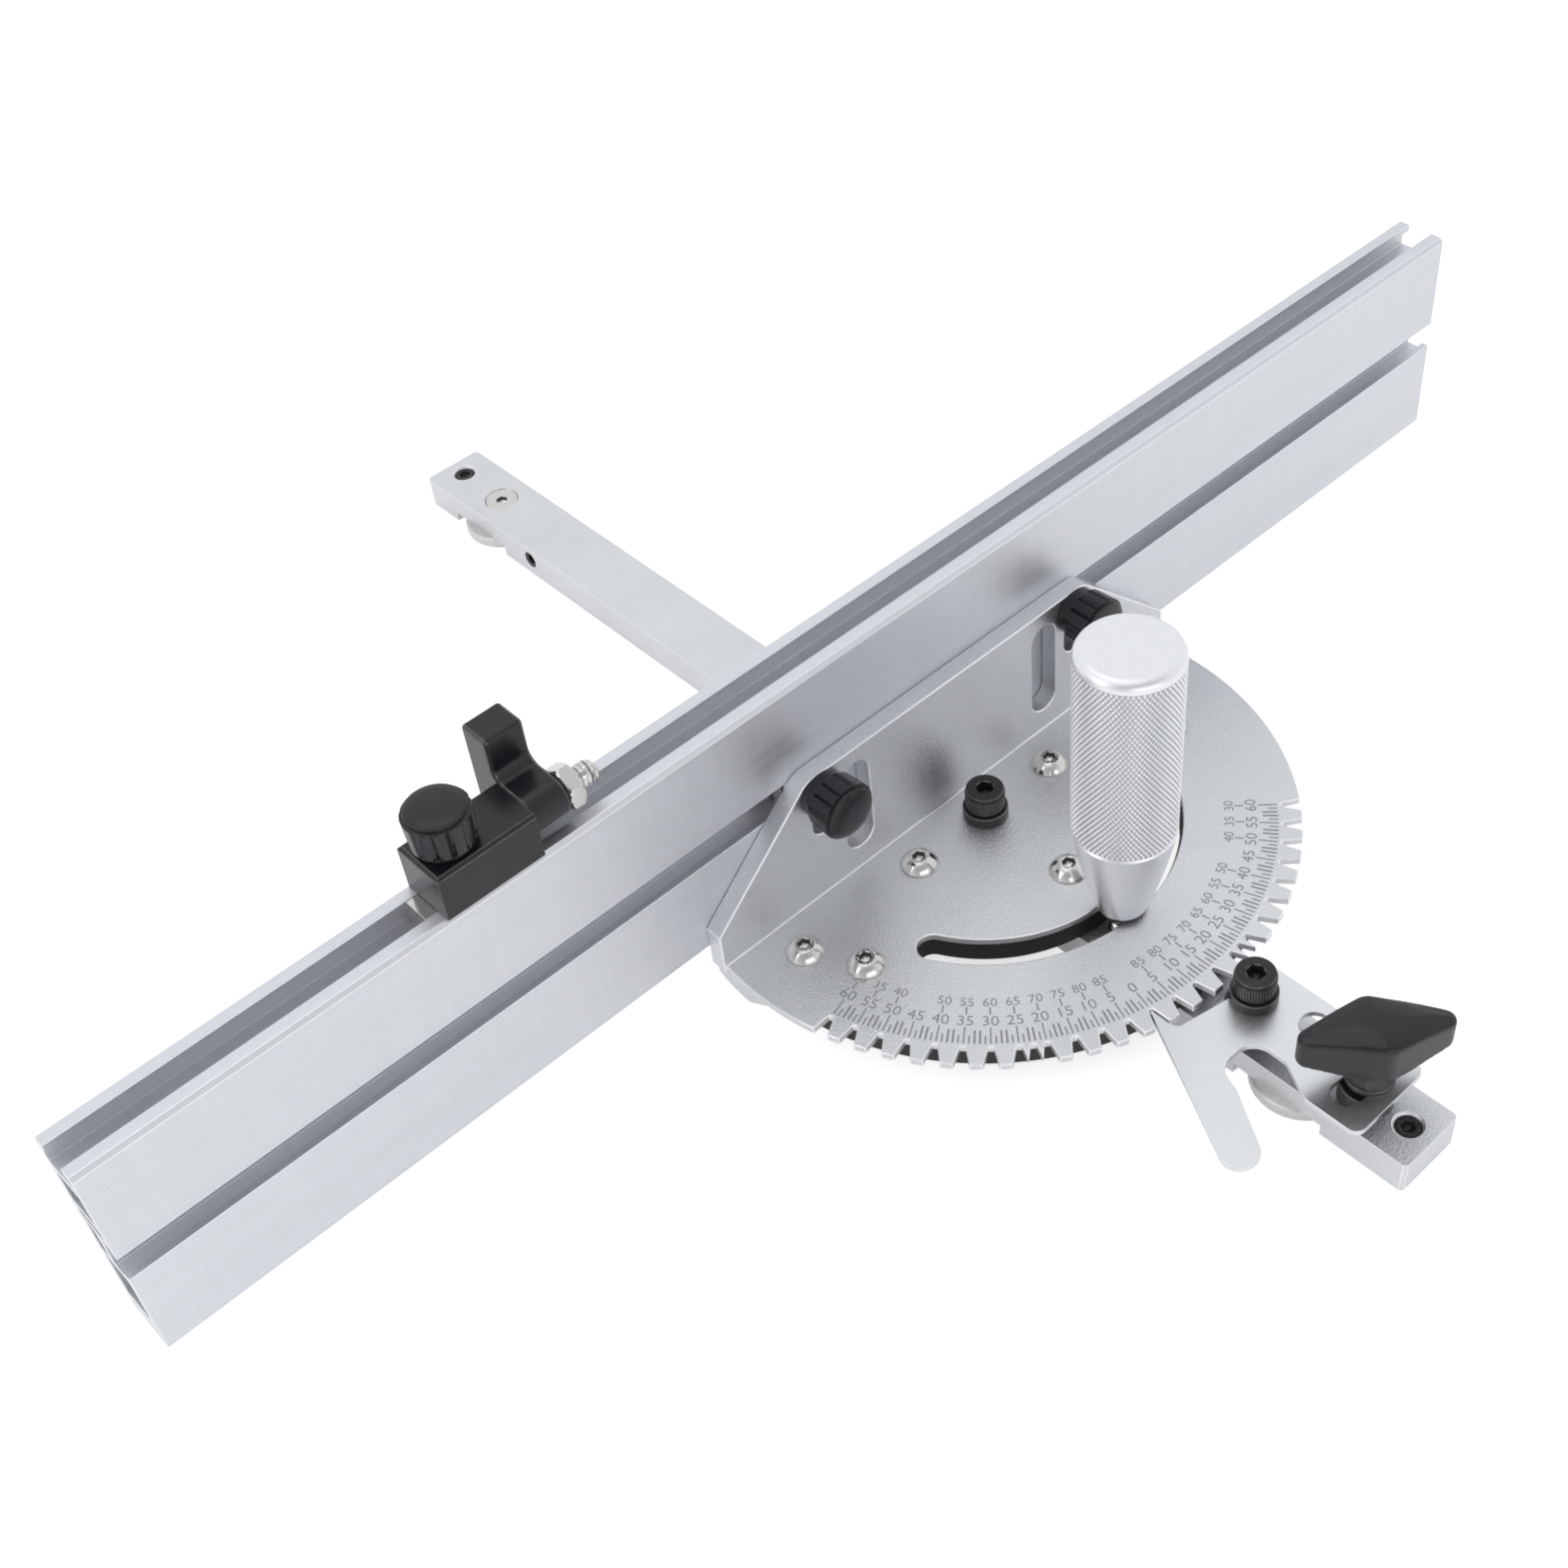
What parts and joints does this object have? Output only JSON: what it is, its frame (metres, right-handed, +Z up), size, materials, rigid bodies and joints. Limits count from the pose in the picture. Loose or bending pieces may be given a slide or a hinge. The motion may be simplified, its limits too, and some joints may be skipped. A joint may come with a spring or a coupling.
{
  "type": "miter gauge",
  "caption": "Miter gauge with a guide bar, toothed half-round protractor head, index pawl, screw-down handle, slotted fence and flip stop",
  "frame": {"origin": "on the head's pivot axis at the guide bar's underside", "axes": "+X along the fence to the user's right, +Y along the bar away from the user, +Z up"},
  "size_m": [0.4229, 0.366, 0.1046],
  "materials": {
    "bar": "satin anodised",
    "bracket": "bead-blasted, clear anodised",
    "fence": "extruded, satin anodised",
    "pawl": "fine brushed",
    "discs": "zinc plated",
    "bright_steel": "polished",
    "black_steel": "black oxide",
    "pad": "black",
    "knob_plastic": "black, fine grain",
    "wing_plastic": "black, soft sheen",
    "stop_anodised": "black anodised",
    "handle": "knurled, bright turned rim"
  },
  "bodies": {
    "bar": {"miter_bar": "bar", "guide_disc_front": "discs", "guide_disc_rear": "discs", "disc_screws": "bright_steel", "end_set_screws": "black_steel", "side_set_screw": "black_steel", "pivot_collar": "black_steel", "pivot_screw": "black_steel", "pawl_spacer": "black_steel", "pawl_collar": "black_steel", "pawl_screw": "black_steel", "wing_spacer": "black_steel", "wing_stud": "bright_steel", "handle_stud": "bright_steel"},
    "head": {"protractor_bracket": "bracket", "glide_base": "pad", "base_screws": "bright_steel"},
    "pawl": {"index_pawl": "pawl"},
    "wing": {"wing_knob": "wing_plastic", "wing_washer": "black_steel"},
    "handle": {"handle_grip": "handle", "handle_washer": "black_steel"},
    "carriage": {"fence_bolt_left": "bright_steel", "fence_bolt_right": "bright_steel"},
    "knob_left": {"fence_knob_left": "knob_plastic"},
    "knob_right": {"fence_knob_right": "knob_plastic"},
    "fence": {"fence_extrusion": "fence"},
    "stop": {"stop_block": "stop_anodised", "stop_tnut": "bright_steel", "stop_stud": "bright_steel", "flip_bolt": "bright_steel", "flip_nut": "bright_steel"},
    "stop_grip": {"stop_knob": "knob_plastic"},
    "flip": {"flip_arm": "stop_anodised"}
  },
  "joints": [
    {"name": "head_turn", "type": "hinge", "parent": "bar", "child": "head", "pos_m": [0, 0, 0.017], "axis": [0, 0, 1], "range_deg": [-60, 60]},
    {"name": "pawl_swing", "type": "hinge", "parent": "bar", "child": "pawl", "pos_m": [0, -0.085, 0.016], "axis": [0, 0, 1], "range_deg": [0, 13]},
    {"name": "wing_turn", "type": "hinge", "parent": "bar", "child": "wing", "pos_m": [0, -0.1173, 0.02], "axis": [0, 0, 1], "range_deg": [0, 360]},
    {"name": "handle_turn", "type": "hinge", "parent": "bar", "child": "handle", "pos_m": [0, -0.0451, 0.04], "axis": [0, 0, 1], "range_deg": [0, 360]},
    {"name": "fence_height", "type": "slide", "parent": "head", "child": "carriage", "axis": [0, 0, 1], "range_m": [-0.01, 0.0003]},
    {"name": "knob_left_turn", "type": "hinge", "parent": "carriage", "child": "knob_left", "pos_m": [-0.0433, 0.004, 0.0505], "axis": [0, -1, 0], "range_deg": [0, 360]},
    {"name": "knob_right_turn", "type": "hinge", "parent": "carriage", "child": "knob_right", "pos_m": [0.0433, 0.004, 0.0505], "axis": [0, -1, 0], "range_deg": [0, 360]},
    {"name": "fence_slide", "type": "slide", "parent": "carriage", "child": "fence", "axis": [1, 0, 0], "range_m": [-0.145, 0.17]},
    {"name": "stop_slide", "type": "slide", "parent": "fence", "child": "stop", "axis": [1, 0, 0], "range_m": [-0.083, 0.29]},
    {"name": "stop_knob_turn", "type": "hinge", "parent": "stop", "child": "stop_grip", "pos_m": [-0.1309, 0.0227, 0.097], "axis": [0, 0, 1], "range_deg": [0, 360]},
    {"name": "flip_swing", "type": "hinge", "parent": "stop", "child": "flip", "pos_m": [-0.1084, 0.022, 0.088], "axis": [1, 0, 0], "range_deg": [0, 180]}
  ]
}
